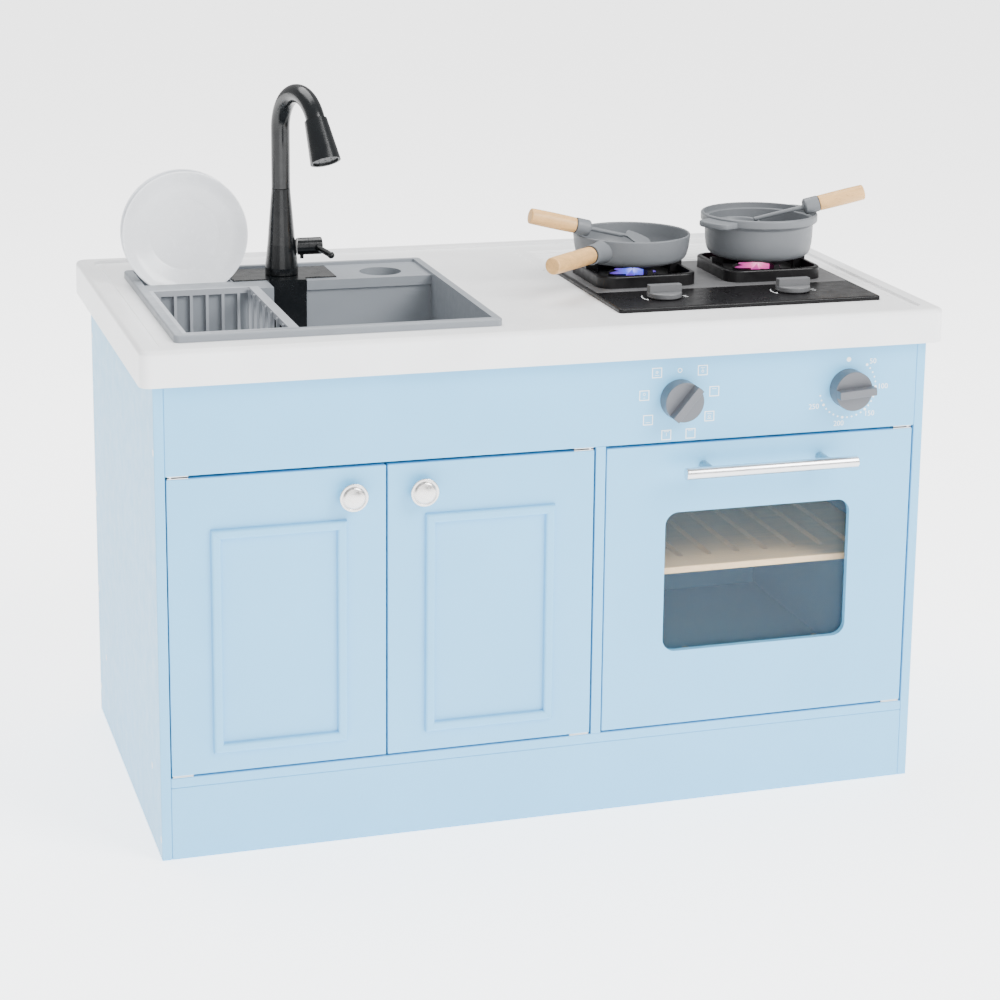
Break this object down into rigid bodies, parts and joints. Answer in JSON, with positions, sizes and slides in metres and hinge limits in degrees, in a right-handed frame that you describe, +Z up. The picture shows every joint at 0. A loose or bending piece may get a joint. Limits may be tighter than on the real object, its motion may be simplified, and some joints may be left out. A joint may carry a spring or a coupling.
{
  "type": "toy kitchen",
  "caption": "Free-standing toy kitchen: white worktop with sink, rack, swivelling faucet and hob over a light blue cabinet with cupboard doors, a glazed oven door, dials and cookware.",
  "frame": {"origin": "centre of the overall box, on the floor", "axes": "+X to the right seen from the front, +Y to the back, +Z up; the doors face -Y"},
  "size_m": [0.8264, 0.487, 0.7259],
  "materials": {
    "board": "satin painted board",
    "worktop": "moulded white plastic",
    "sink": "satin grey plastic",
    "rack": "satin light grey plastic",
    "faucet": "satin black plastic",
    "hob": "gloss black plate with a printed grey field",
    "grate": "matt black plastic",
    "lens_left": "clear moulded plastic, blue light",
    "lens_right": "clear moulded plastic, pink light",
    "knob": "satin grey plastic",
    "hob_knob": "satin light grey plastic",
    "case": "matt dark plastic",
    "pane": "clear pane",
    "shelf": "lacquered beech plywood",
    "batten": "plain beech",
    "handle_steel": "brushed",
    "nickel": "satin nickel",
    "fixings": "plated steel",
    "pan": "matt blue-grey",
    "beech": "lacquered beech",
    "plate": "glossy white",
    "inner": "inner parts",
    "cell": "wrapped cells",
    "tube": "soft clear tube"
  },
  "bodies": {
    "cabinet": {"left_side_panel": "board", "right_side_panel": "board", "centre_divider": "board", "base_shelf": "board", "plinth_board": "board", "control_fascia": "board", "back_panel": "board", "panel_screws": "fixings", "hinge_pivots": "fixings", "magnet_catches": "fixings", "shelf_battens": "batten", "oven_shelf": "shelf", "worktop": "worktop", "sink_basin": "sink", "faucet_deck": "faucet", "faucet_column": "faucet", "valve_body": "faucet", "water_pump": "case", "supply_tube": "tube", "hob_plate": "hob", "burner_grates": "grate", "flame_lens_left": "lens_left", "flame_lens_right": "lens_right", "hob_housing": "case", "battery_cover": "case", "batteries": "cell", "circuit_board": "inner", "speaker": "case"},
    "left_door": {"left_door_panel": "board", "left_door_moulding": "board", "left_door_knob": "nickel", "left_door_plates": "fixings"},
    "right_door": {"right_door_panel": "board", "right_door_moulding": "board", "right_door_knob": "nickel", "right_door_plates": "fixings"},
    "oven_door": {"oven_door_panel": "board", "oven_window": "pane", "oven_window_clips": "fixings", "oven_handle_bar": "handle_steel", "oven_handle_posts": "handle_steel", "oven_door_plates": "fixings"},
    "mode_dial": {"mode_knob": "knob"},
    "temperature_dial": {"temperature_knob": "knob"},
    "left_hob_knob": {"hob_knob_left": "hob_knob"},
    "right_hob_knob": {"hob_knob_right": "hob_knob"},
    "spout": {"faucet_spout": "faucet", "spray_head": "faucet", "nozzle_plate": "faucet"},
    "lever": {"faucet_lever": "faucet"},
    "pan": {"frying_pan": "pan", "frying_pan_handle": "beech"},
    "pot": {"cooking_pot": "pan"},
    "spatula": {"spatula_blade": "pan", "spatula_handle": "beech"},
    "ladle": {"ladle_bowl": "pan", "ladle_handle": "beech"},
    "front_plate": {"plate_front": "plate"},
    "rear_plate": {"plate_back": "plate"},
    "rack": {"dish_rack": "rack"}
  },
  "joints": [
    {"name": "left_door_hinge", "type": "hinge", "parent": "cabinet", "child": "left_door", "pos_m": [-0.3848, -0.205, 0.2366], "axis": [0, 0, -1], "range_deg": [0, 110]},
    {"name": "right_door_hinge", "type": "hinge", "parent": "cabinet", "child": "right_door", "pos_m": [0.03483, -0.205, 0.2366], "axis": [0, 0, 1], "range_deg": [0, 90]},
    {"name": "oven_door_hinge", "type": "hinge", "parent": "cabinet", "child": "oven_door", "pos_m": [0.384, -0.205, 0.2366], "axis": [0, 0, 1], "range_deg": [0, 110]},
    {"name": "mode_dial_turn", "type": "hinge", "parent": "cabinet", "child": "mode_dial", "pos_m": [0.12787, -0.208, 0.434], "axis": [0, 1, 0], "continuous": true},
    {"name": "temperature_dial_turn", "type": "hinge", "parent": "cabinet", "child": "temperature_dial", "pos_m": [0.31288, -0.208, 0.434], "axis": [0, 1, 0], "range_deg": [-86, 172]},
    {"name": "left_hob_knob_turn", "type": "hinge", "parent": "cabinet", "child": "left_hob_knob", "pos_m": [0.1464, -0.1075, 0.5171], "axis": [0, 0, -1], "range_deg": [0, 180]},
    {"name": "right_hob_knob_turn", "type": "hinge", "parent": "cabinet", "child": "right_hob_knob", "pos_m": [0.2906, -0.1075, 0.5171], "axis": [0, 0, -1], "range_deg": [0, 180]},
    {"name": "spout_swivel", "type": "hinge", "parent": "cabinet", "child": "spout", "pos_m": [-0.2135, 0.0974, 0.611], "axis": [0, 0, 1], "range_deg": [-20, 95]},
    {"name": "lever_lift", "type": "hinge", "parent": "cabinet", "child": "lever", "pos_m": [-0.1855, 0.0974, 0.5475], "axis": [-1, 0, 0], "range_deg": [0, 60]},
    {"name": "pan_lift", "type": "slide", "parent": "cabinet", "child": "pan", "axis": [0, 0, 1], "range_m": [0, 0.25]},
    {"name": "pot_lift", "type": "slide", "parent": "cabinet", "child": "pot", "axis": [0, 0, 1], "range_m": [0, 0.25]},
    {"name": "spatula_lift", "type": "slide", "parent": "pan", "child": "spatula", "axis": [0, 0, 1], "range_m": [0, 0.15]},
    {"name": "ladle_lift", "type": "slide", "parent": "pot", "child": "ladle", "axis": [0, 0, 1], "range_m": [0, 0.15]},
    {"name": "front_plate_lift", "type": "slide", "parent": "cabinet", "child": "front_plate", "axis": [0, 0.1736, 0.9848], "range_m": [0, 0.17]},
    {"name": "rear_plate_lift", "type": "slide", "parent": "cabinet", "child": "rear_plate", "axis": [0, 0.1736, 0.9848], "range_m": [0, 0.17]},
    {"name": "rack_lift", "type": "slide", "parent": "cabinet", "child": "rack", "axis": [0, 0, 1], "range_m": [0, 0.25]}
  ]
}
